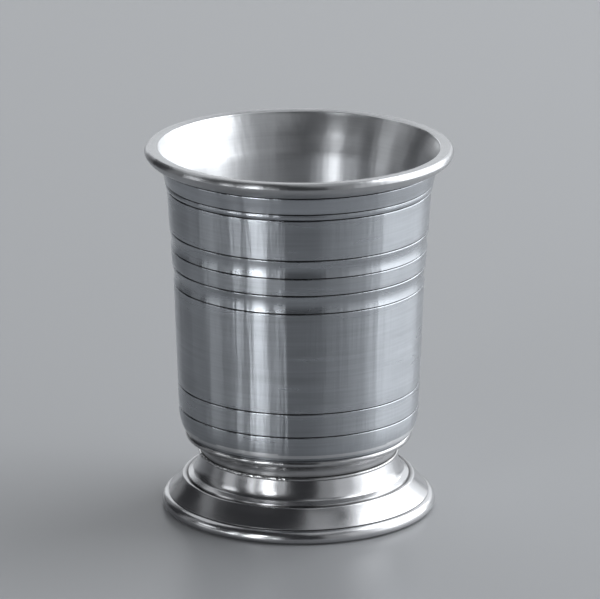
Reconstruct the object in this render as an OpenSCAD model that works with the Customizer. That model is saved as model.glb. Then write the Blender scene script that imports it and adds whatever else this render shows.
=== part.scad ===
// Footed julep cup, turned in a soft silvery metal and soldered from six rings and shells.
// The origin is on the table, at the middle of the foot, with +Z up.

/* [Lip] */
// Diameter over the lip, the widest part of the cup
lip_d = 88; // [82:0.5:96]
// How far the lip stands out past the line under it
lip_reach = 4.7; // [4:0.1:5.4]
// Height of the lip, from the line under it to its top
lip_h = 5.2; // [4.6:0.1:6]
// Radius of the round outer edge of the lip
lip_edge_r = 1.3; // [0.9:0.1:1.6]
// How far inside the edge the underside of the lip turns
lip_belly_in = 0.7; // [0.4:0.1:1]
// How far above the line under the lip its underside turns
lip_belly_up = 1.2; // [0.8:0.1:1.6]
// Width of the top of the lip, from the round edge to the corner over the throat
lip_crest_w = 2.5; // [2.2:0.1:2.7]
// How far the top of the lip falls towards that corner
lip_crest_drop = 0.4; // [0.2:0.05:0.8]
// How far the bend of the throat lies outside the wall's inside
throat_out = 0.35; // [0.2:0.05:0.6]
// How far above the line under the lip that bend lies
throat_up = 1.15; // [0.8:0.05:1.6]
// Thickness of the tongue that seats the lip in the wall
tongue_t = 0.5; // [0.4:0.05:0.7]
// Length of the tongue
tongue_h = 1.6; // [1:0.1:2.4]
// Clearance round the tongue, filled with solder
tongue_gap = 0.04; // [0.02:0.01:0.08]

/* [Body] */
// Thickness of the wall
wall_t = 1.6; // [1.4:0.1:2]
// Thickness of the bottom
floor_t = 2.2; // [1.6:0.1:3]
// How far the flared band draws in, from the line under the lip to the narrow bead
flare_in = 1.1; // [0.6:0.1:1.8]
// How far the narrow bead draws in
bead_in = 0.5; // [0.2:0.1:0.8]
// How far the plain band under the bead draws in
upper_band_in = 0.75; // [0.3:0.05:1.2]
// How far the wall draws in over the two coves and the band between them
waist_in = 1.1; // [0.5:0.1:1.6]
// How far the wall draws in from there to the lowest line, where the bottom rounds in
base_in = 1.3; // [0.7:0.1:2]
// Height of the flared band under the lip
flare_band_h = 4.9; // [4:0.1:6]
// Height of the narrow bead
bead_h = 1.8; // [1.4:0.1:2.4]
// Height of the plain band under the bead
upper_band_h = 11.8; // [9:0.1:16]
// Height of the upper cove
upper_cove_h = 5.3; // [4:0.1:7]
// Height of the plain band between the coves
middle_band_h = 5.1; // [4:0.1:7]
// Height of the lower cove
lower_cove_h = 5.3; // [4:0.1:7]
// Height of the long plain band
main_band_h = 29.65; // [20:0.05:40]
// Height of the plain band above the lowest line
base_band_h = 6.95; // [5:0.05:10]
// Depth of the two coves
cove_depth = 0.4; // [0.2:0.05:0.6]
// How far the narrow bead swells
bead_swell = 0.15; // [0.05:0.05:0.25]
// Width of a turned line
line_w = 0.5; // [0.3:0.05:0.6]
// Depth of a turned line
line_depth = 0.3; // [0.15:0.05:0.4]
// Height of the rounding at the bottom of the body
round_h = 7.8; // [6.5:0.1:9]
// Width of the rounding at the bottom of the body
round_w = 2.75; // [2.2:0.05:3.2]
// Width of the rounding where the inside wall meets the bottom
inner_round_w = 4.5; // [3:0.1:6]

/* [Collar] */
// How far the round flange that carries the body lies inside the lowest line
flange_in = 1.9; // [1.2:0.1:2.6]
// Radius of the edge of that flange
flange_edge_r = 1; // [0.8:0.05:1.2]
// How far the neck lies inside the flange
neck_in = 4.35; // [3.6:0.05:5.2]
// Thickness of the collar at its neck
collar_wall = 1.9; // [1.4:0.1:2.6]
// Height of the plain neck, from the bevel on the seam to the cove
neck_h = 0.8; // [0.4:0.1:2]
// Height of the hollow curve under the flange
collar_cove_h = 3.2; // [2.4:0.1:4]

/* [Solder seam] */
// Radius of the bead of solder
solder_r = 0.5; // [0.4:0.05:0.55]
// Depth of the bevels that hold the solder
bevel_w = 0.66; // [0.6:0.02:0.7]
// Film of solder between the bead and its bevels
solder_film = 0.02; // [0.01:0.01:0.05]

/* [Foot] */
// Thickness of the shell of the foot
foot_wall = 1.7; // [1.4:0.1:1.9]
// How far the rounded edge of the upper tier stands out past the neck
tier_reach = 5.4; // [4.6:0.1:6.2]
// Radius of that rounded edge
tier_edge_r = 0.75; // [0.6:0.05:0.95]
// Rise from the foot wire to the middle of that edge
tier_rise = 4.45; // [4:0.05:5.2]
// How far the bend of the lower tier lies outside the upper tier
tier_bend_out = 1.7; // [1:0.1:2.4]
// How far the bend of the lower tier lies under the upper tier's edge
tier_bend_down = 2.35; // [1.6:0.05:3]
// How far the line on top of the upper tier lies inside its rounded edge
tier_line_in = 0.9; // [0.6:0.05:1.1]
// Height of the flare from the tier to the bevel under the seam
flare_h = 6.2; // [5.6:0.1:7.4]
// Width of the flare's sloping foot, from the line to its knee
knee_w = 1.95; // [1.6:0.05:2.1]
// Rise of the flare's sloping foot up to its knee
knee_h = 1.1; // [0.8:0.05:1.4]
// How far the upper part of the flare leans in
flare_lean = 0.9; // [0.6:0.05:1.2]
// Height of the upper part of the flare
flare_lean_h = 2.9; // [2.4:0.1:3.4]
// Height of the skirt's lower edge above the table
skirt_lift = 0.4; // [0.2:0.1:0.8]
// Clearance between the skirt and the foot wire, filled with solder
skirt_gap = 0.05; // [0.02:0.01:0.1]
// How far the lower tier starts above the foot wire
step_h = 0.25; // [0.15:0.05:0.4]

/* [Foot wire] */
// How far the foot wire stands out past the upper tier
ledge_w = 5.8; // [5:0.1:7]
// Height of the half-round foot wire
wire_h = 3.9; // [3.4:0.1:4.4]
// Width of the foot wire, from its flat face to its round one
wire_w = 3.25; // [2.8:0.05:3.6]

/* [Hidden] */
$fn = 180;

// Steps in a quarter turn of an outline
quarter_steps = 12;
// Steps along a cove or a bead of the body
band_steps = 10;
// Sides of the solder's round section
solder_sides = 24;
// Angle on the edge of the upper tier at which the lower tier ends
tuck_angle = 36;
// Share of the flare's sloping foot that stays straight before it bends up
straight_share = 0.6;

satin = "#a4a8ad";
polished = "#c2c5c9";
solder_grey = "#8e9195";

// Diameters, each stepped from its neighbour, so that all of them follow the lip
lip_line_d = lip_d - 2 * lip_reach;
bead_top_d = lip_line_d - 2 * flare_in;
bead_low_d = bead_top_d - 2 * bead_in;
shoulder_d = bead_low_d - 2 * upper_band_in;
waist_d = shoulder_d - 2 * waist_in;
base_line_d = waist_d - 2 * base_in;
flange_d = base_line_d - 2 * flange_in;
neck_d = flange_d - 2 * neck_in;
bore_d = neck_d - 2 * collar_wall;
tier_d = neck_d + 2 * tier_reach;
foot_d = tier_d + 2 * ledge_w;

// Radii of the turned outlines
lip_r = lip_d / 2;
lip_line_r = lip_line_d / 2;
base_line_r = base_line_d / 2;
flange_r = flange_d / 2;
neck_r = neck_d / 2;
bore_r = bore_d / 2;
tier_r = tier_d / 2;
foot_r = foot_d / 2;
wire_in_r = foot_r - wire_w;
wire_edge_r = wire_h / 2;
skirt_r = wire_in_r - skirt_gap;

// Heights, stacked from the table up
tier_z = wire_h + tier_rise;
tier_top_z = tier_z + tier_edge_r;
foot_top_z = tier_top_z + flare_h;
seam_z = foot_top_z + bevel_w;
collar_h = bevel_w + neck_h + collar_cove_h + 2 * flange_edge_r;
body_z = seam_z + collar_h;
base_line_z = body_z + round_h;
main_low_z = base_line_z + base_band_h;
waist_z = main_low_z + main_band_h;
middle_low_z = waist_z + lower_cove_h;
middle_top_z = middle_low_z + middle_band_h;
shoulder_z = middle_top_z + upper_cove_h;
bead_low_z = shoulder_z + upper_band_h;
bead_top_z = bead_low_z + bead_h;
lip_line_z = bead_top_z + flare_band_h;
lip_top_z = lip_line_z + lip_h;

// Outer radius of the plain wall at a height, straight between the lines that set it
wall_table = [
    [base_line_z, base_line_r],
    [waist_z, waist_d / 2],
    [shoulder_z, shoulder_d / 2],
    [bead_low_z, bead_low_d / 2],
    [bead_top_z, bead_top_d / 2],
    [lip_line_z, lip_line_r]
];
function wall_r(z) = lookup(z, wall_table);
function inside_r(z) = wall_r(z) - wall_t;

// The tongue fills a rebate in the top of the wall, flush with the inside
tongue_r = inside_r(lip_line_z) + tongue_t;
rebate_r = tongue_r + tongue_gap;
tongue_z = lip_line_z - tongue_h;
rebate_z = tongue_z - tongue_gap;

// Stretches of an outline, as lists of [radius, height]
function round_edge(mid, w, h, from, to, steps) = [
    for (i = [0:steps])
        let (a = from + (to - from) * i / steps)
            mid + [w * cos(a), h * sin(a)]
];
function bend(start, turn, end, steps) = [
    for (i = [0:steps])
        let (t = i / steps)
            start * (1 - t) * (1 - t) + turn * 2 * t * (1 - t) + end * t * t
];
function swell(low_z, high_z, depth) = [
    for (i = [1:band_steps - 1])
        let (t = i / band_steps, z = low_z + (high_z - low_z) * t)
            [wall_r(z) + depth * sin(180 * t), z]
];
function turned_line(z) = [
    [wall_r(z - line_w / 2), z - line_w / 2],
    [wall_r(z) - line_depth, z],
    [wall_r(z + line_w / 2), z + line_w / 2]
];

module turn(outline) {
    rotate_extrude() polygon(outline);
}

// Half-round wire round the skirt: flat inside and below, round outside
module foot_wire() {
    edge = round_edge([foot_r - wire_edge_r, wire_edge_r], wire_edge_r, wire_edge_r,
                      -90, 90, 2 * quarter_steps);
    color(polished) turn(concat([[wire_in_r, 0]], edge, [[wire_in_r, wire_h]]));
}

// Hollow foot: a skirt inside the wire, a sloping lower tier, a round edge, a line and a flare
module foot() {
    shelf_r = foot_r - wire_edge_r;
    shelf_z = wire_h + step_h;
    tier_mid_r = tier_r - tier_edge_r;
    tier_low = [tier_mid_r + tier_edge_r * cos(tuck_angle),
                tier_z + tier_edge_r * sin(tuck_angle)];
    line_r = tier_mid_r - tier_line_in;
    flare_low = [line_r - line_w / 2, tier_top_z + line_w / 2];
    knee = flare_low + [-knee_w, knee_h];
    lean_low = [neck_r + flare_lean, foot_top_z - flare_lean_h];
    lower_tier = bend([shelf_r, shelf_z], tier_low + [tier_bend_out, -tier_bend_down],
                      tier_low, quarter_steps);
    edge = round_edge([tier_mid_r, tier_z], tier_edge_r, tier_edge_r,
                      tuck_angle, 90, quarter_steps);
    flare = bend(flare_low + (knee - flare_low) * straight_share, knee, lean_low,
                 quarter_steps);
    inside_top_r = neck_r - foot_wall;
    inside_w = tier_mid_r - foot_wall / 2 - inside_top_r;
    hollow = round_edge([inside_top_r + inside_w, foot_top_z],
                        inside_w, flare_h + foot_wall,
                        -180, -90, quarter_steps);
    color(polished) turn(concat(
        [[skirt_r - foot_wall, skirt_lift], [skirt_r, skirt_lift], [skirt_r, wire_h]],
        [[shelf_r, wire_h]],
        lower_tier,
        edge,
        [[line_r, tier_top_z - line_depth]],
        [flare_low],
        flare,
        [[neck_r, foot_top_z]],
        [[neck_r - bevel_w, seam_z], [inside_top_r, seam_z]],
        hollow,
        [[skirt_r - foot_wall, wire_h - foot_wall / 2]]
    ));
}

// Bead of solder lying in the V that the bevels of foot and collar make
module solder_seam() {
    seat = (solder_r + solder_film) * sqrt(2);
    color(solder_grey)
        rotate_extrude()
            translate([neck_r - bevel_w + seat, seam_z])
                circle(r = solder_r, $fn = solder_sides);
}

// Waisted collar: a bevel on the seam, a short neck, a cove and a round flange
module collar() {
    flange_mid_r = flange_r - flange_edge_r;
    flange_low_z = body_z - 2 * flange_edge_r;
    cove = round_edge([flange_mid_r, flange_low_z - collar_cove_h],
                      flange_mid_r - neck_r, collar_cove_h,
                      180, 90, quarter_steps);
    edge = round_edge([flange_mid_r, body_z - flange_edge_r], flange_edge_r, flange_edge_r,
                      -90, 90, 2 * quarter_steps);
    color(satin) turn(concat(
        [[bore_r, seam_z], [neck_r - bevel_w, seam_z], [neck_r, seam_z + bevel_w]],
        cove,
        edge,
        [[bore_r, body_z]]
    ));
}

// Tapered wall with its turned lines, coves and bead, closed by a flat bottom
module cup_body() {
    line_angle = asin(line_w / 2 / round_h);
    floor_z = body_z + floor_t;
    corner = round_edge([base_line_r - round_w, base_line_z], round_w, round_h,
                        -90, -line_angle, 2 * quarter_steps);
    inner_corner = round_edge([inside_r(base_line_z) - inner_round_w, base_line_z],
                              inner_round_w, base_line_z - floor_z,
                              0, -90, quarter_steps);
    color(satin) turn(concat(
        [[0, body_z]],
        corner,
        [[base_line_r - line_depth, base_line_z]],
        [[wall_r(base_line_z + line_w / 2), base_line_z + line_w / 2]],
        turned_line(main_low_z),
        turned_line(waist_z),
        swell(waist_z, middle_low_z, -cove_depth),
        turned_line(middle_low_z),
        turned_line(middle_top_z),
        swell(middle_top_z, shoulder_z, -cove_depth),
        turned_line(shoulder_z),
        turned_line(bead_low_z),
        swell(bead_low_z + line_w / 2, bead_top_z - line_w / 2, bead_swell),
        turned_line(bead_top_z),
        [[wall_r(lip_line_z - line_w / 2), lip_line_z - line_w / 2]],
        [[lip_line_r - line_depth, lip_line_z]],
        [[rebate_r, lip_line_z], [rebate_r, rebate_z], [inside_r(rebate_z), rebate_z]],
        [[inside_r(bead_top_z), bead_top_z]],
        [[inside_r(bead_low_z), bead_low_z]],
        [[inside_r(shoulder_z), shoulder_z]],
        [[inside_r(waist_z), waist_z]],
        inner_corner,
        [[0, floor_z]]
    ));
}

// Thick lip with a flared underside, a round edge, a broad top and a slope down the throat
module lip_ring() {
    edge_mid = [lip_r - lip_edge_r, lip_top_z - lip_edge_r];
    corner = [edge_mid[0] - lip_crest_w, lip_top_z - lip_crest_drop];
    throat_r = inside_r(lip_line_z);
    under = bend([lip_line_r, lip_line_z + line_w / 2],
                 [lip_r - lip_belly_in, lip_line_z + lip_belly_up],
                 [lip_r, edge_mid[1]], quarter_steps);
    edge = round_edge(edge_mid, lip_edge_r, lip_edge_r, 0, 90, quarter_steps);
    crest = bend([edge_mid[0], lip_top_z],
                 [(edge_mid[0] + corner[0]) / 2, lip_top_z], corner, quarter_steps);
    throat = bend(corner, [throat_r + throat_out, lip_line_z + throat_up],
                  [throat_r, lip_line_z], quarter_steps);
    color(satin) turn(concat(
        [[inside_r(tongue_z), tongue_z], [tongue_r, tongue_z], [tongue_r, lip_line_z]],
        [[lip_line_r - line_depth, lip_line_z]],
        under,
        edge,
        crest,
        throat
    ));
}

foot_wire();
foot();
solder_seam();
collar();
cup_body();
lip_ring();
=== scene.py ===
import math

import bmesh
import bpy
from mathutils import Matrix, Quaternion, Vector


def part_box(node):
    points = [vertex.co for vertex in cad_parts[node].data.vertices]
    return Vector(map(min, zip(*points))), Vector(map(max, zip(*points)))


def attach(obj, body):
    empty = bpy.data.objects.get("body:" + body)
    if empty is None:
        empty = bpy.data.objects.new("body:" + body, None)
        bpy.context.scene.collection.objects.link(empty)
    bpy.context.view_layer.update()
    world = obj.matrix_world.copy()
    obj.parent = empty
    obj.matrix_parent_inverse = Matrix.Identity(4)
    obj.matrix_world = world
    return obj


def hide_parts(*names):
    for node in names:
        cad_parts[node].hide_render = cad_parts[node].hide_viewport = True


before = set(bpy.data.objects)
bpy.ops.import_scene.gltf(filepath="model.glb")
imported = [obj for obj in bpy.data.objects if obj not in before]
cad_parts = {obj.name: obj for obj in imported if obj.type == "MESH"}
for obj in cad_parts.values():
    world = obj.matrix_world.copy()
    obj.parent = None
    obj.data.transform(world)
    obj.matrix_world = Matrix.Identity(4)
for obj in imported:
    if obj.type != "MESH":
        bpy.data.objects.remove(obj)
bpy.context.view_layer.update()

print("frame loaded:", ", ".join(sorted(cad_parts)))

# The camera looks along +Y and down on the cup; places are in metres, angles in degrees
cameraView = {
    "aim": (0.0003, 0.0, 0.06077),
    "elevation": 16.47,
    "distance": 1.387,
    "lens": 290.84,      # millimetres
    "sensor": 36.0,
    "roll": 0.14,
}

# The studio: a pale satin floor, a dim room that is lighter on one side, and soft boxes
studio = {
    "floorSize": 16.0,
    "floorColor": (0.36, 0.365, 0.375, 1),
    "floorRoughness": 0.33,
    "roomColor": (0.03, 0.031, 0.034, 1),
    "glowColor": (0.16, 0.17, 0.185, 1),
    "glowSide": 105,     # degrees round the cup, counted from the camera towards +X
    "glowLift": 15,
    "glowSpread": 2.0,
    "lampColor": (0.95, 0.975, 1.0),
    "boxDistance": 1.5,  # of a soft box that gives none of its own
}
# Each box: its middle and width in degrees round the cup, its lowest and highest edge in degrees
# above the horizon, its brightness, and its distance in metres
softBoxes = [
    {"name": "sideBox", "middle": 104, "width": 54, "low": -2, "high": 16, "bright": 2.5},
    {"name": "sideHigh", "middle": 112, "width": 66, "low": 16, "high": 62, "bright": 3.2},
    {"name": "sideEdge", "middle": 71.5, "width": 11, "low": -2, "high": 50, "bright": 1.4},
    {"name": "nearSide", "middle": 54, "width": 24, "low": -2, "high": 44, "bright": 0.6},
    {"name": "frontGlow", "middle": 32, "width": 20, "low": -2, "high": 44, "bright": 0.3},
    {"name": "keyBox", "middle": -37, "width": 15, "low": 2, "high": 15, "bright": 1.8},
    {"name": "keyHigh", "middle": -33, "width": 12, "low": 15, "high": 25, "bright": 7.5},
    {"name": "keyLow", "middle": -38.5, "width": 9, "low": -2, "high": 2, "bright": 17.0},
    {"name": "keyLowSide", "middle": -31.5, "width": 5, "low": -2, "high": 2, "bright": 5.0},
    {"name": "keySide", "middle": -54, "width": 7, "low": 2, "high": 25, "bright": 1.5},
    {"name": "keySideLow", "middle": -56, "width": 6, "low": -2, "high": 2, "bright": 9.0},
    {"name": "frontStrip", "middle": -18, "width": 5, "low": 2, "high": 25, "bright": 0.8},
    {"name": "frontStripLow", "middle": -18.5, "width": 5, "low": -2, "high": 2, "bright": 7.0},
    {"name": "frontTop", "middle": 30, "width": 40, "low": 52, "high": 76, "bright": 0.35},
    {"name": "leftBox", "middle": -83, "width": 15, "low": 2, "high": 15, "bright": 0.55},
    {"name": "leftHigh", "middle": -84, "width": 18, "low": 15, "high": 25, "bright": 2.0},
    {"name": "leftLow", "middle": -80, "width": 26, "low": -2, "high": 2, "bright": 1.2},
    {"name": "leftLowEdge", "middle": -65, "width": 3.5, "low": -2, "high": 2, "bright": 4.5},
    {"name": "farLeft", "middle": -106, "width": 14, "low": -2, "high": 40, "bright": 0.25},
    {"name": "backLeft", "middle": -152, "width": 24, "low": 1, "high": 26, "bright": 0.25, "distance": 1.8},
    {"name": "backLow", "middle": 168, "width": 76, "low": 1, "high": 32, "bright": 0.85, "distance": 2.0},
    {"name": "backSide", "middle": 148, "width": 36, "low": 4, "high": 42, "bright": 0.3, "distance": 1.8},
]
# Panels overhead: two corners and a height in metres, and a brightness
ceilingPanels = [
    {"name": "ceilingRight", "from": (-0.12, -0.5), "to": (1.7, 2.1), "height": 1.8, "bright": 0.5},
    {"name": "ceilingLeft", "from": (-1.7, 0.45), "to": (-0.12, 2.1), "height": 1.8, "bright": 0.8},
]

turnSteps = 256      # steps round a turned piece
mergeGap = 0.002     # millimetres, points nearer than this are merged


def mm(length):
    return length / 1000


def lowestAndHighest(node):
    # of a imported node, in millimetres
    low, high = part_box(node)
    return low.z * 1000, high.z * 1000


# An outline is a list of rings, which runs up the outside and back down the inside
def ring(radius, height, hollow=0.0, polish=0.0):
    # hollow is how much tarnish and painted shade gather there, polish how much it is rubbed smooth
    return {"radius": radius, "height": height, "hollow": hollow, "polish": polish}


def arc(middle, width, height, start, end, steps, polish=0.0):
    rings = []
    for step in range(steps + 1):
        angle = math.radians(start + (end - start) * step / steps)
        radius = middle[0] + width * math.cos(angle)
        rings.append(ring(radius, middle[1] + height * math.sin(angle), polish=polish))
    return rings


def bend(start, turn, end, steps, polish=0.0):
    rings = []
    for step in range(steps + 1):
        share = step / steps
        before, along, after = (1 - share) ** 2, 2 * share * (1 - share), share ** 2
        radius = start[0] * before + turn[0] * along + end[0] * after
        height = start[1] * before + turn[1] * along + end[1] * after
        rings.append(ring(radius, height, polish=polish))
    return rings


def wallBetween(radiusAt, low, high, steps, bulge=0.0, polish=0.0):
    # rings between two heights, without the ends; a bulge below zero is a cove
    rings = []
    for step in range(1, steps):
        share = step / steps
        height = low + (high - low) * share
        rings.append(ring(radiusAt(height) + bulge * math.sin(math.pi * share), height, polish=polish))
    return rings


# A turned line: a soft lower lip that looks up, a narrow bottom and a steep upper wall, whose
# rings are given as shares of its height and depth, with their tarnish and painted shade
turnedLine = {
    "below": 0.5, "bottom": 0.15, "above": 0.16, "depth": 0.3,
    "lipSteps": 10, "lipPolish": 0.6,
    "wallRings": ((0.3, 1.0, 1.0), (0.55, 0.5, 1.0), (0.75, 0.12, 0.9)),
}


def lineLip(radiusAt, height):
    # tarnish and painted shade gather over the last quarter of the lip
    size = turnedLine
    rings = []
    for step in range(size["lipSteps"] + 1):
        share = step / size["lipSteps"]
        turn = math.pi / 2 * share
        there = height - size["below"] + (size["below"] - size["bottom"]) * math.sin(turn)
        inwards = size["depth"] * (1 - math.cos(turn))
        rings.append(ring(radiusAt(there) - inwards, there, max(0.0, 4 * share - 3), size["lipPolish"]))
    return rings


def lineBottom(radiusAt, height):
    # the bottom is darkest, with tarnish and painted shade
    return [ring(radiusAt(height) - turnedLine["depth"], height, hollow=1.0)]


def lineWall(radiusAt, height):
    size = turnedLine
    rings = []
    for up, deep, hollow in size["wallRings"]:
        rings.append(ring(radiusAt(height) - size["depth"] * deep, height + size["above"] * up, hollow))
    top = height + size["above"]
    return rings + [ring(radiusAt(top), top, polish=size["lipPolish"])]


def startFresh():
    if bpy.context.object and bpy.context.object.mode != "OBJECT":
        bpy.ops.object.mode_set(mode="OBJECT")
    bpy.ops.object.select_all(action="DESELECT")


def pickOnly(piece):
    startFresh()
    bpy.context.view_layer.objects.active = piece
    piece.select_set(True)


def selectOpenEdges(piece):
    mesh = bmesh.from_edit_mesh(piece.data)
    bpy.ops.mesh.select_all(action="DESELECT")
    for edge in mesh.edges:
        if edge.is_boundary:
            edge.select_set(True)
    mesh.select_flush(True)
    bmesh.update_edit_mesh(piece.data)


def closeAtAxis():
    bpy.ops.mesh.extrude_region_move()
    bpy.ops.mesh.merge(type="CENTER")


def turnPiece(name, outline, steps=turnSteps):
    # a circle is extruded and resized from ring to ring, then closed at the axis or on itself
    startFresh()
    hasPoles = outline[0]["radius"] == 0
    walk = outline[1:-1] if hasPoles else outline
    bpy.ops.mesh.primitive_circle_add(
        vertices=steps, radius=mm(walk[0]["radius"]), location=(0, 0, mm(walk[0]["height"])))
    piece = bpy.context.object
    piece.name = piece.data.name = name
    bpy.ops.object.transform_apply(location=True, rotation=True, scale=True)
    bpy.ops.object.mode_set(mode="EDIT")
    bpy.ops.mesh.select_all(action="SELECT")
    for here, there in zip(walk, walk[1:]):
        rise = mm(there["height"] - here["height"])
        grow = there["radius"] / here["radius"]
        bpy.ops.mesh.extrude_region_move(TRANSFORM_OT_translate={"value": (0, 0, rise)})
        bpy.ops.transform.resize(value=(grow, grow, 1), center_override=(0, 0, mm(there["height"])))
    if hasPoles:
        closeAtAxis()
        selectOpenEdges(piece)
        closeAtAxis()
    else:
        selectOpenEdges(piece)
        bpy.ops.mesh.bridge_edge_loops()
    bpy.ops.mesh.select_all(action="SELECT")
    bpy.ops.mesh.remove_doubles(threshold=mm(mergeGap))
    bpy.ops.mesh.normals_make_consistent(inside=False)
    bpy.ops.object.mode_set(mode="OBJECT")
    markWear(piece, outline)
    return piece


def markWear(piece, outline):
    # each point takes the hollow and polish of the ring that it lies on
    hollow = piece.data.attributes.new("hollow", "FLOAT", "POINT")
    polish = piece.data.attributes.new("polish", "FLOAT", "POINT")
    nearest = {}
    for index, point in enumerate(piece.data.vertices):
        radius = round(math.hypot(point.co.x, point.co.y) * 1000, 3)
        height = round(point.co.z * 1000, 3)
        if (radius, height) not in nearest:
            gaps = [(radius - each["radius"]) ** 2 + (height - each["height"]) ** 2 for each in outline]
            nearest[radius, height] = outline[gaps.index(min(gaps))]
        hollow.data[index].value = nearest[radius, height]["hollow"]
        polish.data[index].value = nearest[radius, height]["polish"]


def makeUneven(piece, size, strength, weightAt=None):
    # a slow unevenness from hand finishing, in millimetres, less of it where weightAt says so
    texture = bpy.data.textures.new(piece.name + "Uneven", "CLOUDS")
    texture.noise_scale = mm(size)
    texture.noise_depth = 1      # one layer of noise, so it stays slow
    weights = piece.vertex_groups.new(name="uneven")
    for point in piece.data.vertices:
        weights.add([point.index], weightAt(point.co * 1000) if weightAt else 1.0, "REPLACE")
    pickOnly(piece)
    modifier = piece.modifiers.new("Uneven", "DISPLACE")
    modifier.texture = texture
    modifier.strength = mm(strength)
    modifier.mid_level = 0.5
    modifier.vertex_group = "uneven"
    bpy.ops.object.modifier_apply(modifier=modifier.name)


def finishPiece(piece, node, materials, crease=30):
    pickOnly(piece)
    bpy.ops.object.shade_smooth_by_angle(angle=math.radians(crease))
    for name in materials:
        piece.data.materials.append(metal(name))
    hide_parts(node)
    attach(piece, "root")
    print("made", piece.name, "with", len(piece.data.polygons), "faces")


# Shader effects, as groups that the metals share


def addNode(tree, kind, **settings):
    node = tree.nodes.new(kind)
    for name, value in settings.items():
        setattr(node, name, value)
    return node


def feed(tree, node, **values):
    # sockets or numbers go into a node's inputs, which are counted from in1
    for name, value in values.items():
        socket = node.inputs[int(name[2:]) - 1]
        if hasattr(value, "is_linked"):
            tree.links.new(value, socket)
        else:
            socket.default_value = value
    return node


def calc(tree, operation, first, second=0.0, clamp=False):
    node = addNode(tree, "ShaderNodeMath", operation=operation, use_clamp=clamp)
    return feed(tree, node, in1=first, in2=second).outputs[0]


def addNoise(tree, place, scale, detail):
    noise = addNode(tree, "ShaderNodeTexNoise")
    noise.inputs["Detail"].default_value = detail
    tree.links.new(place, noise.inputs["Vector"])
    feed(tree, noise, in3=scale)
    return noise.outputs["Fac"]


def mixColors(tree, factor, first, second):
    # of a Mix node's many sockets, these are the ones for colours
    mix = addNode(tree, "ShaderNodeMix", data_type="RGBA")
    return feed(tree, mix, in1=factor, in7=first, in8=second).outputs[2]


def objectPlace(tree):
    return addNode(tree, "ShaderNodeTexCoord").outputs["Object"]


def objectParts(tree):
    return feed(tree, addNode(tree, "ShaderNodeSeparateXYZ"), in1=objectPlace(tree)).outputs


def joinParts(tree, x=0.0, y=0.0, z=0.0):
    return feed(tree, addNode(tree, "ShaderNodeCombineXYZ"), in1=x, in2=y, in3=z).outputs[0]


def newGroup(name, inputs, outputs):
    group = bpy.data.node_groups.new(name, "ShaderNodeTree")
    kind = "NodeSocketFloat"
    for label, value in inputs.items():
        socket = group.interface.new_socket(name=label, in_out="INPUT", socket_type=kind)
        socket.default_value = value
    for label in outputs:
        group.interface.new_socket(name=label, in_out="OUTPUT", socket_type=kind)
    return group, group.nodes.new("NodeGroupInput"), group.nodes.new("NodeGroupOutput")


def turningMarksGroup():
    # fine rings left by the lathe, which run round the axis; Run says how soon one ends
    group, given, made = newGroup(
        "turningMarks", {"Spacing": 0.001, "Lean": 1.0, "Run": 1.5}, ["Height", "Streak"])
    parts = objectParts(group)
    level = joinParts(group, x=parts["X"], y=parts["Y"])
    length = feed(group, addNode(group, "ShaderNodeVectorMath", operation="LENGTH"), in1=level)
    radius = calc(group, "MAXIMUM", length.outputs["Value"], mm(0.5))      # never nought at the axis
    around = addNode(group, "ShaderNodeVectorMath", operation="SCALE")
    group.links.new(level, around.inputs[0])
    group.links.new(calc(group, "DIVIDE", given.outputs["Run"], radius), around.inputs["Scale"])
    leaning = calc(group, "MULTIPLY", given.outputs["Lean"], radius)
    across = calc(group, "DIVIDE", calc(group, "ADD", parts["Z"], leaning), given.outputs["Spacing"])
    # the marks' own height, and broader streaks among them
    for label, stretch, detail in (("Height", 1.0, 2.0), ("Streak", 0.23, 3.0)):
        lift = joinParts(group, z=calc(group, "MULTIPLY", across, stretch))
        spot = feed(group, addNode(group, "ShaderNodeVectorMath", operation="ADD"),
                    in1=around.outputs[0], in2=lift)
        group.links.new(addNoise(group, spot.outputs[0], 1.0, detail), made.inputs[label])
    return group


def handWobbleGroup():
    # slow unevenness of metal worked by hand
    group, given, made = newGroup("handWobble", {"Size": 0.02}, ["Height"])
    scale = calc(group, "DIVIDE", 1.0, given.outputs["Size"])
    group.links.new(addNoise(group, objectPlace(group), scale, 1.5), made.inputs["Height"])
    return group


# Hairline scratches run two ways, and come in patches; turn and stretch of each way
scratches = {
    "ways": (((0.5, 0.3, 0.2), (1, 0.14, 1)), ((-0.4, 0.9, 1.1), (0.9, 1, 0.12))),
    "fineness": 4.0, "patchFineness": 2.5, "patchEdge": 9.0,
}


def scuffsGroup():
    # thin lines where stretched noise crosses its middle, broken up by patches
    group, given, made = newGroup("scuffs", {"Size": 0.02, "Share": 0.4, "Width": 0.006}, ["Mask"])
    place = objectPlace(group)
    fine = calc(group, "DIVIDE", scratches["fineness"], given.outputs["Size"])
    lines = []
    for tilt, stretch in scratches["ways"]:
        mapping = addNode(group, "ShaderNodeMapping")
        mapping.inputs["Rotation"].default_value = tilt
        mapping.inputs["Scale"].default_value = stretch
        group.links.new(place, mapping.inputs["Vector"])
        wave = addNoise(group, mapping.outputs[0], fine, 0.0)
        off = calc(group, "ABSOLUTE", calc(group, "SUBTRACT", wave, 0.5))
        thin = calc(group, "DIVIDE", off, given.outputs["Width"])
        lines.append(calc(group, "SUBTRACT", 1.0, thin, clamp=True))
    spread = calc(group, "DIVIDE", scratches["patchFineness"], given.outputs["Size"])
    patch = addNoise(group, place, spread, 2.0)
    edge = calc(group, "SUBTRACT", patch, calc(group, "SUBTRACT", 1.0, given.outputs["Share"]))
    shown = calc(group, "MULTIPLY", edge, scratches["patchEdge"], clamp=True)
    group.links.new(calc(group, "MULTIPLY", calc(group, "MAXIMUM", *lines), shown), made.inputs["Mask"])
    return group


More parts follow.
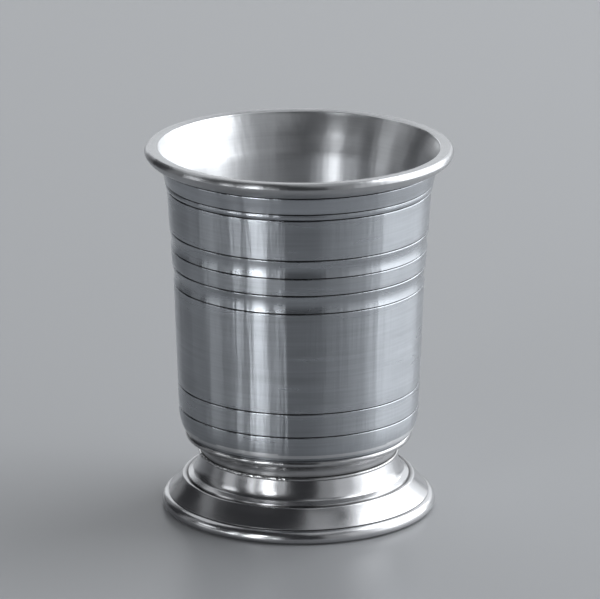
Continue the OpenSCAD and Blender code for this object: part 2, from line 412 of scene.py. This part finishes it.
def tarnishAndShadeGroup():
    # darker metal in the hollows, partly tarnish and partly painted shade, uneven along them, with a faint
    # bloom elsewhere
    group, given, made = newGroup("tarnishAndShade", {"Depth": 0.95, "Bloom": 0.08, "Size": 0.006}, ["Mask"])
    hollow = addNode(group, "ShaderNodeAttribute", attribute_name="hollow").outputs["Fac"]
    scale = calc(group, "DIVIDE", 1.0, given.outputs["Size"])
    noise = addNoise(group, objectPlace(group), scale, 3.0)
    patchy = calc(group, "ADD", calc(group, "MULTIPLY", noise, 0.4), 0.8)
    deep = calc(group, "MULTIPLY", calc(group, "MULTIPLY", hollow, given.outputs["Depth"]), patchy)
    lifted = calc(group, "SUBTRACT", noise, 0.4, clamp=True)
    bloom = calc(group, "MULTIPLY", lifted, given.outputs["Bloom"])
    group.links.new(calc(group, "ADD", deep, bloom, clamp=True), made.inputs["Mask"])
    return group


def uprightGroup():
    # faint flats that stand upright round the wall and break a reflection into streaks
    group, given, made = newGroup("upright", {"Size": 0.0024, "Stretch": 0.04}, ["Height"])
    parts = objectParts(group)
    drawn = calc(group, "MULTIPLY", parts["Z"], given.outputs["Stretch"])
    spot = joinParts(group, x=parts["X"], y=parts["Y"], z=drawn)
    scale = calc(group, "DIVIDE", 1.0, given.outputs["Size"])
    group.links.new(addNoise(group, spot, scale, 2.0), made.inputs["Height"])
    return group


def drawnInGroup():
    # the inside draws in evenly from the lip down, which its reflections show
    group, given, made = newGroup("drawnIn", {}, ["Height"])
    group.links.new(calc(group, "MULTIPLY", objectParts(group)["Z"], -1.0), made.inputs["Height"])
    return group


effects = {
    "turningMarks": turningMarksGroup(),
    "upright": uprightGroup(),
    "drawnIn": drawnInGroup(),
    "handWobble": handWobbleGroup(),
    "scuffs": scuffsGroup(),
    "tarnishAndShade": tarnishAndShadeGroup(),
}


def addEffect(tree, name, **values):
    node = addNode(tree, "ShaderNodeGroup", node_tree=effects[name])
    for label, value in values.items():
        node.inputs[label.title()].default_value = value
    return node


# The metals; upright, spacing, wobble and scuff are sizes and each height is the depth of a
# relief, in metres; streak roughens along the turning marks, fine and shade darken along them
metals = {
    "satinWall": {
        "color": (0.495, 0.517, 0.545, 1),
        "roughness": 0.31, "polished": 0.22, "anisotropy": 0.97,
        "spacing": 0.0007, "lean": 1.0, "markHeight": 0.000011,
        "streak": 0.1, "fine": 0.15, "shade": 0.1,
        "upright": 0.0024, "uprightHeight": 0.00012,
        "wobble": 0.014, "wobbleHeight": 0.00006,
        "scuff": 0.02, "scuffRough": 0.008, "scuffHeight": 0.0,
    },
    # painted light: the inside is a lighter copy of the wall's pewter, which brightens its reflections
    "satinInsidePaintedLighter": {
        "color": (0.7, 0.706, 0.718, 1),
        "roughness": 0.36, "polished": 0.25, "anisotropy": 0.9,
        "spacing": 0.0007, "lean": 1.0, "markHeight": 0.000003,
        "streak": 0.05, "fine": 0.08, "shade": 0.04,
        "upright": 0.003, "uprightHeight": 0.00008, "drawnIn": 0.2,
        "wobble": 0.02, "wobbleHeight": 0.00004,
        "scuff": 0.02, "scuffRough": 0.0, "scuffHeight": 0.0,
    },
    "lipMetal": {
        "color": (0.53, 0.535, 0.545, 1),
        "roughness": 0.31, "polished": 0.2, "anisotropy": 0.9,
        "spacing": 0.0006, "lean": 1.0, "markHeight": 0.000003,
        "streak": 0.06, "fine": 0.1, "shade": 0.04,
        "upright": 0.0024, "uprightHeight": 0.00009,
        "wobble": 0.01, "wobbleHeight": 0.00005,
        "scuff": 0.015, "scuffRough": 0.01, "scuffHeight": 0.000001,
    },
    "collarMetal": {
        "color": (0.5, 0.5, 0.505, 1),
        "roughness": 0.28, "polished": 0.19, "anisotropy": 0.8,
        "spacing": 0.0007, "lean": 1.0, "markHeight": 0.000006,
        "streak": 0.08, "fine": 0.08, "shade": 0.06,
        "upright": 0.002, "uprightHeight": 0.00002,
        "wobble": 0.008, "wobbleHeight": 0.00003,
        "scuff": 0.012, "scuffRough": 0.01, "scuffHeight": 0.000001,
    },
    "polishedFoot": {
        "color": (0.56, 0.56, 0.57, 1),
        "roughness": 0.235, "polished": 0.2, "anisotropy": 0.35,
        "spacing": 0.0009, "lean": -1.0, "markHeight": 0.000002,
        "streak": 0.05, "fine": 0.02, "shade": 0.03,
        "upright": 0.003, "uprightHeight": 0.00001,
        "wobble": 0.007, "wobbleHeight": 0.00005,
        "scuff": 0.01, "scuffRough": 0.03, "scuffHeight": 0.000001,
    },
    "solderMetal": {
        "color": (0.6, 0.6, 0.6, 1),
        "roughness": 0.17, "polished": 0.13, "anisotropy": 0.0,
        "spacing": 0.002, "lean": 1.0, "markHeight": 0.000003,
        "streak": 0.05, "fine": 0.0, "shade": 0.05,
        "upright": 0.003, "uprightHeight": 0.0,
        "wobble": 0.003, "wobbleHeight": 0.00004,
        "scuff": 0.01, "scuffRough": 0.0, "scuffHeight": 0.000002,
    },
}
# near black, for tarnish and for painted shade in the hollows
tarnishAndShadeColor = (0.03, 0.028, 0.027, 1)


def makeMetal(name):
    look = metals[name]
    material = bpy.data.materials.new(name)
    material.use_nodes = True
    tree = material.node_tree
    shader = tree.nodes["Principled BSDF"]
    shader.inputs["Metallic"].default_value = 1.0
    shader.inputs["Anisotropic"].default_value = look["anisotropy"]
    shader.inputs["Anisotropic Rotation"].default_value = 0.25
    marks = addEffect(tree, "turningMarks", spacing=look["spacing"], lean=look["lean"])
    upright = addEffect(tree, "upright", size=look["upright"])
    wobble = addEffect(tree, "handWobble", size=look["wobble"])
    scuffs = addEffect(tree, "scuffs", size=look["scuff"])
    # the hollows' mask, where tarnish and painted shade darken the metal
    tarnishAndShade = addEffect(tree, "tarnishAndShade").outputs["Mask"]
    # noise runs from nought to one, so its middle is taken off and what is left is doubled
    streak = calc(tree, "SUBTRACT", marks.outputs["Streak"], 0.5)
    mark = calc(tree, "SUBTRACT", marks.outputs["Height"], 0.5)

    # colour: tarnish and painted shade in the hollows, a little lighter and darker along the turning marks
    fine = calc(tree, "MULTIPLY", mark, look["fine"] * 2)
    shade = calc(tree, "ADD", fine, calc(tree, "MULTIPLY", streak, look["shade"] * 2))
    darker = calc(tree, "ADD", calc(tree, "ADD", tarnishAndShade, shade), look["shade"] / 2, clamp=True)
    tree.links.new(mixColors(tree, darker, look["color"], tarnishAndShadeColor), shader.inputs["Base Color"])

    # roughness: smoother where rubbed, streaky along the marks, rougher in scuffs
    polish = addNode(tree, "ShaderNodeAttribute", attribute_name="polish").outputs["Fac"]
    rubbed = calc(tree, "MULTIPLY", polish, look["polished"] - look["roughness"])
    rough = calc(tree, "ADD", rubbed, look["roughness"])
    rough = calc(tree, "ADD", rough, calc(tree, "MULTIPLY", streak, look["streak"] * 2))
    rough = calc(tree, "ADD", rough, calc(tree, "MULTIPLY", scuffs.outputs["Mask"], look["scuffRough"]))
    tree.links.new(rough, shader.inputs["Roughness"])

    # relief, each kind on top of the one before
    reliefs = [(upright.outputs["Height"], look["uprightHeight"]),
               (wobble.outputs["Height"], look["wobbleHeight"]),
               (marks.outputs["Height"], look["markHeight"]),
               (scuffs.outputs["Mask"], look["scuffHeight"])]
    if "drawnIn" in look:
        reliefs.insert(0, (addEffect(tree, "drawnIn").outputs["Height"], look["drawnIn"]))
    normal = None
    for socket, height in reliefs:
        bump = addNode(tree, "ShaderNodeBump")
        bump.inputs["Distance"].default_value = height
        tree.links.new(socket, bump.inputs["Height"])
        if normal:
            tree.links.new(normal, bump.inputs["Normal"])
        normal = bump.outputs["Normal"]
    tree.links.new(normal, shader.inputs["Normal"])
    return material


def metal(name):
    return bpy.data.materials.get(name) or makeMetal(name)


# The wall of the cup, which the lip ring also fits
cupWall = {
    "wall": 1.6, "floor": 2.2,
    "roundWidth": 2.75, "roundHeight": 7.8, "innerRound": 4.5,
    "baseBand": 6.95, "mainBand": 29.65, "lowerCove": 5.3, "middleBand": 5.1, "upperCove": 5.3,
    "upperBand": 11.8, "bead": 1.8, "flareBand": 4.9,
    "baseRadius": 34.55, "waistRadius": 35.85, "shoulderRadius": 36.95,
    "beadLowRadius": 37.7, "beadTopRadius": 38.2, "lipLineRadius": 39.3,
    "coveDepth": 0.4, "coveSteps": 14, "covePolish": 0.4,
    "beadSwell": 0.15, "beadPolish": 0.9, "flarePolish": 1.0,
    "innerSwell": 0.6, "swellAbove": 1.0, "swellBelow": 6.0,
    "tongue": 0.5, "tongueHeight": 1.6, "tongueGap": 0.04, "tongueEase": 4.0,
    "underShares": (0.15, 0.4, 0.7), "floorShares": (0.75, 0.5, 0.25, 0.08),
    "unevenSize": 14, "unevenHeight": 0.05,
}


def wallHeights():
    size = cupWall
    heights = {"bottom": lowestAndHighest("cup_body")[0]}
    heights["baseLine"] = heights["bottom"] + size["roundHeight"]
    heights["mainLow"] = heights["baseLine"] + size["baseBand"]
    heights["waist"] = heights["mainLow"] + size["mainBand"]
    heights["middleLow"] = heights["waist"] + size["lowerCove"]
    heights["middleTop"] = heights["middleLow"] + size["middleBand"]
    heights["shoulder"] = heights["middleTop"] + size["upperCove"]
    heights["beadLow"] = heights["shoulder"] + size["upperBand"]
    heights["beadTop"] = heights["beadLow"] + size["bead"]
    heights["lipLine"] = heights["beadTop"] + size["flareBand"]
    return heights


wallAt = wallHeights()
wallPlaces = [(wallAt[place], cupWall[radius]) for place, radius in (
    ("baseLine", "baseRadius"), ("waist", "waistRadius"), ("shoulder", "shoulderRadius"),
    ("beadLow", "beadLowRadius"), ("beadTop", "beadTopRadius"), ("lipLine", "lipLineRadius"))]


def outsideAt(height):
    # radius of the plain wall, straight between the places that set it
    for (low, lowRadius), (high, highRadius) in zip(wallPlaces, wallPlaces[1:]):
        if height <= high:
            share = max(0.0, (height - low) / (high - low))
            return lowRadius + (highRadius - lowRadius) * share
    return wallPlaces[-1][1]


def insideAt(height):
    return outsideAt(height) - cupWall["wall"]


def wallLine(place):
    height = wallAt[place]
    return lineLip(outsideAt, height) + lineBottom(outsideAt, height) + lineWall(outsideAt, height)


def wallBand(low, high, steps, bulge=0.0, polish=0.0):
    return wallBetween(outsideAt, wallAt[low] + turnedLine["above"], wallAt[high] - turnedLine["below"],
                       steps, bulge, polish)


def wallCove(low, high):
    return wallBand(low, high, cupWall["coveSteps"], -cupWall["coveDepth"], cupWall["covePolish"])


def awayFromTongue(point):
    # the body and the lip stay true where they meet inside the throat
    gap = abs(point.z - wallAt["lipLine"] + cupWall["tongueHeight"])
    return min(1.0, gap / cupWall["tongueEase"])


def dressInside(piece, isInside):
    # faces inside the cup take the piece's second material, a lighter copy of the pewter that paints light
    # into the inside
    for face in piece.data.polygons:
        radius = math.hypot(face.center.x, face.center.y) * 1000
        face.material_index = 1 if isInside(radius, face.center.z * 1000) else 0


def insideSwell(height, top):
    # under the lip the inside draws in a little faster than the outside, and eases off again
    size = cupWall
    fullAt, endAt = wallAt["shoulder"] + size["swellAbove"], wallAt["waist"] - size["swellBelow"]
    if height > fullAt:
        share = (top - height) / (top - fullAt)
        return size["innerSwell"] * share * (2 - share)
    share = max(0.0, (height - endAt) / (fullAt - endAt))
    return size["innerSwell"] * share * share * (3 - 2 * share)


def makeCupBody():
    size = cupWall
    floorTop = wallAt["bottom"] + size["floor"]
    bottomRadius = size["baseRadius"] - size["roundWidth"]
    tongueLow = wallAt["lipLine"] - size["tongueHeight"]
    rebateRadius = insideAt(wallAt["lipLine"]) + size["tongue"] + size["tongueGap"]
    roundEnd = math.degrees(math.asin(turnedLine["below"] / size["roundHeight"]))
    outside = [ring(0, wallAt["bottom"])]
    outside += [ring(share * bottomRadius, wallAt["bottom"]) for share in size["underShares"]]
    outside += arc((bottomRadius, wallAt["baseLine"]), size["roundWidth"], size["roundHeight"],
                   -90, -roundEnd, steps=20)
    outside += wallLine("baseLine")[1:]
    outside += wallBand("baseLine", "mainLow", steps=4)
    outside += wallLine("mainLow")
    outside += wallBand("mainLow", "waist", steps=12)
    outside += wallLine("waist")
    outside += wallCove("waist", "middleLow")
    outside += wallLine("middleLow")
    outside += wallBand("middleLow", "middleTop", steps=4)
    outside += wallLine("middleTop")
    outside += wallCove("middleTop", "shoulder")
    outside += wallLine("shoulder")
    outside += wallBand("shoulder", "beadLow", steps=6)
    outside += wallLine("beadLow")
    outside += wallBand("beadLow", "beadTop", steps=8, bulge=size["beadSwell"],
                        polish=size["beadPolish"])
    outside += wallLine("beadTop")
    outside += wallBand("beadTop", "lipLine", steps=4, polish=size["flarePolish"])
    outside += lineLip(outsideAt, wallAt["lipLine"]) + lineBottom(outsideAt, wallAt["lipLine"])
    inside = [ring(rebateRadius, wallAt["lipLine"]), ring(rebateRadius, tongueLow)]
    inside += [ring(insideAt(tongueLow), tongueLow)]
    for high, low, steps in (("beadTop", "beadLow", 2), ("beadLow", "shoulder", 8),
                             ("shoulder", "waist", 10), ("waist", "baseLine", 8)):
        for step in range(steps):
            height = wallAt[high] + (wallAt[low] - wallAt[high]) * step / steps
            inside.append(ring(insideAt(height) - insideSwell(height, tongueLow), height))
    inside += arc((insideAt(wallAt["baseLine"]) - size["innerRound"], wallAt["baseLine"]),
                  size["innerRound"], wallAt["baseLine"] - floorTop, 0, -90, steps=14)
    inside += [ring(share * inside[-1]["radius"], floorTop) for share in size["floorShares"]]
    inside += [ring(0, floorTop)]
    piece = turnPiece("cupBody", outside + inside)
    makeUneven(piece, size["unevenSize"], size["unevenHeight"], awayFromTongue)
    finishPiece(piece, "cup_body", ["satinWall", "satinInsidePaintedLighter"])
    dressInside(piece, lambda radius, height: height > wallAt["bottom"] + size["floor"] / 2
                and radius < insideAt(height) + size["wall"] / 2)


lipRing = {
    "radius": 44.0, "edgeRadius": 1.3, "bellyIn": 0.7, "bellyUp": 1.2,
    "faceLow": 0.2, "faceTurn": (0.3, 0.25), "faceIn": 1.15, "facePolish": 0.2,
    "crestIn": 2.5, "crestDrop": 0.2, "crestPolish": 1.0,
    "cornerIn": 0.2, "throatStart": (0.3, 0.6), "throatTurn": (38.05, 2.75),
    "throatReach": 0.2, "throatSlope": 0.8,
    "unevenSize": 12, "unevenHeight": 0.05,
}


def makeLipRing():
    size = lipRing
    radius = size["radius"]
    line = wallAt["lipLine"]
    top = lowestAndHighest("lip_ring")[1]
    tongueLow = line - cupWall["tongueHeight"]
    tongueRadius = insideAt(line) + cupWall["tongue"]
    edge = (radius - size["edgeRadius"], top - size["edgeRadius"])
    outline = [ring(insideAt(tongueLow), tongueLow), ring(tongueRadius, tongueLow)]
    outline += [ring(tongueRadius, line)]
    outline += lineBottom(outsideAt, line) + lineWall(outsideAt, line)

    # the flared underside, then the outer face and the crest
    flareLow = (cupWall["lipLineRadius"], line + turnedLine["above"])
    belly = (radius - size["bellyIn"], line + size["bellyUp"])
    faceLow = (radius, edge[1] - size["faceLow"])
    outline += bend(flareLow, belly, faceLow, steps=16)[1:]
    face = (radius - size["faceTurn"][0], top - size["faceTurn"][1])
    crest = (radius - size["faceIn"], top)
    outline += bend(faceLow, face, crest, steps=16, polish=size["facePolish"])[1:]
    corner = (edge[0] - size["crestIn"], top - size["crestDrop"])
    crestTurn = ((crest[0] + corner[0]) / 2, top)
    outline += bend(crest, crestTurn, corner, steps=12, polish=size["crestPolish"])[1:]

    # the inner corner, then the throat down to the tongue
    outline += [ring(corner[0] - size["cornerIn"], corner[1] - size["cornerIn"])]
    throatTop = (corner[0] - size["throatStart"][0], corner[1] - size["throatStart"][1])
    throatTurn = (size["throatTurn"][0], tongueLow + size["throatTurn"][1])
    outline += bend(throatTop, throatTurn, (insideAt(tongueLow), tongueLow), steps=20)[:-1]
    piece = turnPiece("lipRing", outline)
    makeUneven(piece, size["unevenSize"], size["unevenHeight"], awayFromTongue)
    finishPiece(piece, "lip_ring", ["lipMetal", "satinInsidePaintedLighter"])

    def isThroat(radius, height):
        reach = size["throatReach"] + max(0, height - line) * size["throatSlope"]
        return radius < corner[0] and height > tongueLow and radius < insideAt(line) + reach

    dressInside(piece, isThroat)


collarRing = {
    "flangeRadius": 32.65, "flangeEdge": 1.0, "neckRadius": 28.3, "boreRadius": 26.4,
    "bevel": 0.66, "coveHeight": 3.2, "covePolish": 0.5, "flangePolish": 0.8,
    "unevenSize": 7, "unevenHeight": 0.05,
}


def makeCollar():
    size = collarRing
    low, top = lowestAndHighest("collar")
    flangeMiddle = size["flangeRadius"] - size["flangeEdge"]
    flangeLow = top - 2 * size["flangeEdge"]
    # the bevel under the solder is dark with tarnish and painted shade
    outline = [ring(size["boreRadius"], low), ring(size["neckRadius"] - size["bevel"], low, hollow=1.0)]
    outline += [ring(size["neckRadius"], low + size["bevel"], hollow=0.6)]
    outline += arc((flangeMiddle, flangeLow - size["coveHeight"]),
                   flangeMiddle - size["neckRadius"], size["coveHeight"],
                   180, 90, steps=20, polish=size["covePolish"])
    outline += arc((flangeMiddle, top - size["flangeEdge"]),
                   size["flangeEdge"], size["flangeEdge"],
                   -90, 90, steps=18, polish=size["flangePolish"])[1:]
    outline += [ring(size["boreRadius"], top)]
    piece = turnPiece("collarRing", outline)
    makeUneven(piece, size["unevenSize"], size["unevenHeight"])
    finishPiece(piece, "collar", ["collarMetal"])


# The bead of solder is lumpy where it was run on by hand; angles count from the camera towards +X
solderSeam = {
    "radius": 0.5, "film": 0.02, "sides": 16, "steps": 640,
    "lumpSize": 1.1, "lumpHeight": 0.55, "lumpReach": 0.3,
    "lumpyFrom": -80, "lumpyTo": -6, "calm": 0.06,
}


def makeSolderSeam():
    size = solderSeam
    low, high = lowestAndHighest("solder_seam")
    seat = (size["radius"] + size["film"]) * math.sqrt(2)
    middle = (collarRing["neckRadius"] - collarRing["bevel"] + seat, (low + high) / 2)

    def lumpiness(point):
        angle = math.degrees(math.atan2(point.x, -point.y))
        isLumpy = size["lumpyFrom"] < angle < size["lumpyTo"]
        outward = (math.hypot(point.x, point.y) - middle[0]) / size["radius"] + size["lumpReach"]
        return (1.0 if isLumpy else size["calm"]) * min(1.0, max(0.0, outward))

    outline = arc(middle, size["radius"], size["radius"], 0, 360 - 360 / size["sides"],
                  steps=size["sides"] - 1, polish=1.0)
    piece = turnPiece("solderSeam", outline, size["steps"])
    makeUneven(piece, size["lumpSize"], size["lumpHeight"], lumpiness)
    finishPiece(piece, "solder_seam", ["solderMetal"])


foot = {
    "wall": 1.7, "tierRadius": 33.7, "tierEdge": 0.75, "tierRise": 4.45, "tuckAngle": 36,
    "lineIn": 0.9, "lineWidth": 0.5, "lineDepth": 0.3,
    "step": 0.25, "skirtLift": 0.4, "skirtGap": 0.05, "scoopTurn": (1.7, 2.35),
    "flareLean": 0.9, "flareHeight": 2.9, "kneeOut": 1.95, "kneeUp": 1.1, "straightShare": 0.6,
    "polish": 0.3, "edgePolish": 0.8, "unevenSize": 7, "unevenHeight": 0.06, "crease": 20,
}
footWire = {
    "radius": 39.5, "width": 3.25, "faceRadius": 2.45, "underRadius": 1.45, "polish": 0.5,
    "unevenSize": 9, "unevenHeight": 0.04,
}


def makeFoot():
    size = foot
    polish = size["polish"]
    neck = collarRing["neckRadius"]
    seam = lowestAndHighest("foot")[1]
    top = seam - collarRing["bevel"]
    wireHeight = lowestAndHighest("foot_wire")[1]
    edge = (size["tierRadius"] - size["tierEdge"], wireHeight + size["tierRise"])
    tierTop = edge[1] + size["tierEdge"]
    skirtRadius = footWire["radius"] - footWire["width"] - size["skirtGap"]
    skirtInside = skirtRadius - size["wall"]

    # the skirt inside the wire, the scooped lower tier and its rounded edge
    shelf = (footWire["radius"] - wireHeight / 2, wireHeight + size["step"])
    outline = [ring(skirtInside, size["skirtLift"]), ring(skirtRadius, size["skirtLift"])]
    # the crease where the shelf meets the wire is dark with tarnish and painted shade
    outline += [ring(skirtRadius, wireHeight), ring(shelf[0], wireHeight, hollow=1.0)]
    tuck = math.radians(size["tuckAngle"])
    tierLow = (edge[0] + size["tierEdge"] * math.cos(tuck), edge[1] + size["tierEdge"] * math.sin(tuck))
    scoop = (tierLow[0] + size["scoopTurn"][0], tierLow[1] - size["scoopTurn"][1])
    outline += bend(shelf, scoop, tierLow, steps=20, polish=polish)
    outline += arc(edge, size["tierEdge"], size["tierEdge"], size["tuckAngle"], 90,
                   steps=12, polish=size["edgePolish"])[1:]

    # the turned line on the tier, then the flare with its knee, up to the solder
    lineRadius = edge[0] - size["lineIn"]
    # the turned line's bottom, dark with tarnish and painted shade
    outline += [ring(lineRadius, tierTop - size["lineDepth"], hollow=1.0)]
    flareLow = (lineRadius - size["lineWidth"] / 2, tierTop + size["lineWidth"] / 2)
    knee = (flareLow[0] - size["kneeOut"], flareLow[1] + size["kneeUp"])
    straight = size["straightShare"]
    bendLow = (flareLow[0] - size["kneeOut"] * straight, flareLow[1] + size["kneeUp"] * straight)
    bendTop = (neck + size["flareLean"], top - size["flareHeight"])
    leanMiddle = ((bendTop[0] + neck) / 2, (bendTop[1] + top) / 2)
    outline += bend(flareLow, bendLow, bendLow, steps=6, polish=polish)
    outline += bend(bendLow, knee, bendTop, steps=16, polish=polish)[1:]
    outline += bend(bendTop, leanMiddle, (neck, top), steps=8, polish=polish)[1:]

    # the bevel under the solder, then back down the hollow
    insideTop = neck - size["wall"]
    insideWidth = edge[0] - size["wall"] / 2 - insideTop
    # the bevel under the solder, dark with tarnish and painted shade
    outline += [ring(neck - collarRing["bevel"], seam, hollow=1.0), ring(insideTop, seam)]
    outline += arc((insideTop + insideWidth, top), insideWidth, top - tierTop + size["wall"],
                   -180, -90, steps=14)
    outline += [ring(skirtInside, wireHeight - size["wall"] / 2)]
    piece = turnPiece("footShell", outline)
    makeUneven(piece, size["unevenSize"], size["unevenHeight"])
    finishPiece(piece, "foot", ["polishedFoot"], size["crease"])


def makeFootWire():
    size = footWire
    top = lowestAndHighest("foot_wire")[1]
    under, face = size["underRadius"], size["faceRadius"]
    inner = size["radius"] - size["width"]
    outline = [ring(inner, 0), ring(inner + size["width"] / 3, 0)]
    outline += arc((size["radius"] - under, under), under, under, -90, 0,
                   steps=12, polish=size["polish"])
    outline += arc((size["radius"] - face, under), face, top - under, 0, 90,
                   steps=20, polish=size["polish"])[1:]
    outline += [ring(inner, top)]
    piece = turnPiece("footWire", outline)
    # its underside stays flat on the table
    makeUneven(piece, size["unevenSize"], size["unevenHeight"], lambda point: min(1.0, point.z))
    finishPiece(piece, "foot_wire", ["polishedFoot"])


def makeFloor():
    startFresh()
    bpy.ops.mesh.primitive_plane_add(size=studio["floorSize"])
    floor = bpy.context.object
    floor.name = "studioFloor"
    material = bpy.data.materials.new("paleFloor")
    material.use_nodes = True
    shader = material.node_tree.nodes["Principled BSDF"]
    shader.inputs["Base Color"].default_value = studio["floorColor"]
    shader.inputs["Roughness"].default_value = studio["floorRoughness"]
    floor.data.materials.append(material)


def directionAt(side, lift):
    side, lift = math.radians(side), math.radians(lift)
    return Vector((math.sin(side) * math.cos(lift), -math.cos(side) * math.cos(lift), math.sin(lift)))


def makeRoom():
    # the room is dim, with a soft glow from the side of the large box
    world = bpy.data.worlds.new("dimRoom")
    world.use_nodes = True
    tree = world.node_tree
    place = addNode(tree, "ShaderNodeTexCoord").outputs["Generated"]
    toSide = addNode(tree, "ShaderNodeVectorMath", operation="DOT_PRODUCT")
    tree.links.new(place, toSide.inputs[0])
    toSide.inputs[1].default_value = directionAt(studio["glowSide"], studio["glowLift"])
    facing = calc(tree, "MAXIMUM", toSide.outputs["Value"], 0.0)
    glow = calc(tree, "POWER", facing, studio["glowSpread"])
    color = mixColors(tree, glow, studio["roomColor"], studio["glowColor"])
    tree.links.new(color, tree.nodes["Background"].inputs["Color"])
    bpy.context.scene.world = world


def addLamp(name, place, width, height, bright):
    # a rectangle that looks equally bright at any size; the camera doesn't see it
    startFresh()
    bpy.ops.object.light_add(type="AREA", location=place)
    lamp = bpy.context.object
    lamp.name = name
    lamp.data.shape = "RECTANGLE"
    lamp.data.size, lamp.data.size_y = width, height
    lamp.data.color = studio["lampColor"]
    lamp.data.energy = bright * math.pi * width * height
    lamp.visible_camera = False
    return lamp


def addSoftBox(box):
    # a standing box that faces the cup's axis
    away = directionAt(box["middle"], 0)
    distance = box.get("distance", studio["boxDistance"])
    low = cameraView["aim"][2] + distance * math.tan(math.radians(box["low"]))
    high = cameraView["aim"][2] + distance * math.tan(math.radians(box["high"]))
    width = 2 * distance * math.tan(math.radians(box["width"] / 2))
    place = away * distance + Vector((0, 0, (low + high) / 2))
    lamp = addLamp(box["name"], place, width, high - low, box["bright"])
    lamp.rotation_euler = (-away).to_track_quat("-Z", "Y").to_euler()


def addCeiling(panel):
    low, high = Vector(panel["from"]), Vector(panel["to"])
    middle, span = (low + high) / 2, high - low
    addLamp(panel["name"], (middle.x, middle.y, panel["height"]), span.x, span.y, panel["bright"])


def makeCamera():
    startFresh()
    back = directionAt(0, cameraView["elevation"])
    bpy.ops.object.camera_add(location=Vector(cameraView["aim"]) + back * cameraView["distance"])
    camera = bpy.context.object
    facing = (-back).to_track_quat("-Z", "Y") @ Quaternion((0, 0, 1), math.radians(cameraView["roll"]))
    camera.rotation_euler = facing.to_euler()
    camera.data.lens = cameraView["lens"]
    camera.data.sensor_width = cameraView["sensor"]
    bpy.context.scene.camera = camera


makeCamera()
makeFloor()
makeRoom()
for box in softBoxes:
    addSoftBox(box)
for panel in ceilingPanels:
    addCeiling(panel)
print("studio is set with", len(softBoxes), "soft boxes")

makeFootWire()
makeFoot()
makeSolderSeam()
makeCollar()
makeCupBody()
makeLipRing()

bpy.context.scene.view_settings.view_transform = "Standard"
